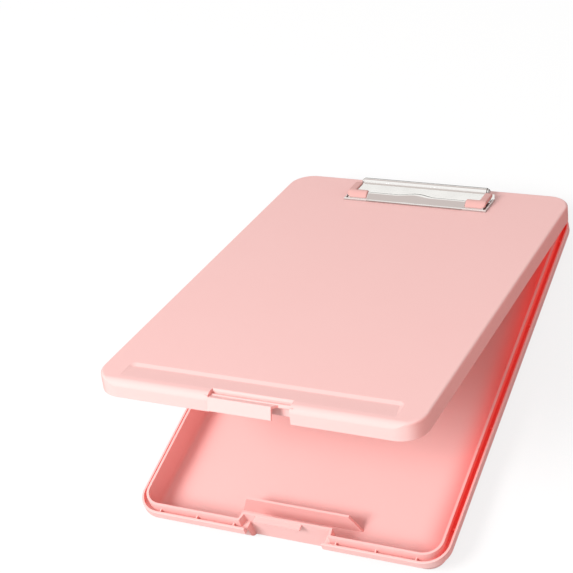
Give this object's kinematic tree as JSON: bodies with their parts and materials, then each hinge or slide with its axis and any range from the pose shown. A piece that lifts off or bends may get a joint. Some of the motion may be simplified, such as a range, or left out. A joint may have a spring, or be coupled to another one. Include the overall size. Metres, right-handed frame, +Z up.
{
  "type": "storage clipboard box",
  "caption": "Shallow hinged storage box whose flat lid is a writing board with a low sprung paper clip, a pen rest and a front latch.",
  "frame": {"origin": "centre of the flat underside of the tray", "axes": "+Z up, +Y from the latch towards the hinge (the long way of the box), +X to the right of someone who faces the latch"},
  "size_m": [0.24, 0.3418, 0.1423],
  "materials": {
    "pink_body": "satin moulded polypropylene, pale pink",
    "grip_pink": "soft satin moulding, pink",
    "clip_plate": "bright plated sheet steel",
    "steel_rod": "drawn steel",
    "spring_wire": "drawn spring steel wire",
    "rivet_metal": "bright plated steel"
  },
  "bodies": {
    "tray": {"tray": "pink_body", "hinge_rod": "steel_rod"},
    "lid": {"lid": "pink_body", "clip_base": "clip_plate", "clip_rod": "steel_rod", "clip_spring_left": "spring_wire", "clip_spring_right": "spring_wire", "rivet_left": "rivet_metal", "rivet_right": "rivet_metal", "rivet_washer_left": "rivet_metal", "rivet_washer_right": "rivet_metal"},
    "clip_jaw": {"clip_jaw": "clip_plate", "corner_grip_left": "grip_pink", "corner_grip_right": "grip_pink"},
    "latch": {"latch": "pink_body"}
  },
  "joints": [
    {"name": "lid_hinge", "type": "hinge", "parent": "tray", "child": "lid", "pos_m": [0, 0.1694, 0.021], "axis": [-1, 0, 0], "range_deg": [-19, 161]},
    {"name": "jaw_hinge", "type": "hinge", "parent": "lid", "child": "clip_jaw", "pos_m": [0, 0.16326, 0.04157], "axis": [-1, 0, 0], "range_deg": [0, 50], "stiffness_Nm_per_rad": 0.12, "springref_deg": -45.84},
    {"name": "latch_hinge", "type": "hinge", "parent": "lid", "child": "latch", "pos_m": [0, -0.14188, 0.13797], "axis": [-1, 0, 0], "range_deg": [-15, 20]}
  ]
}
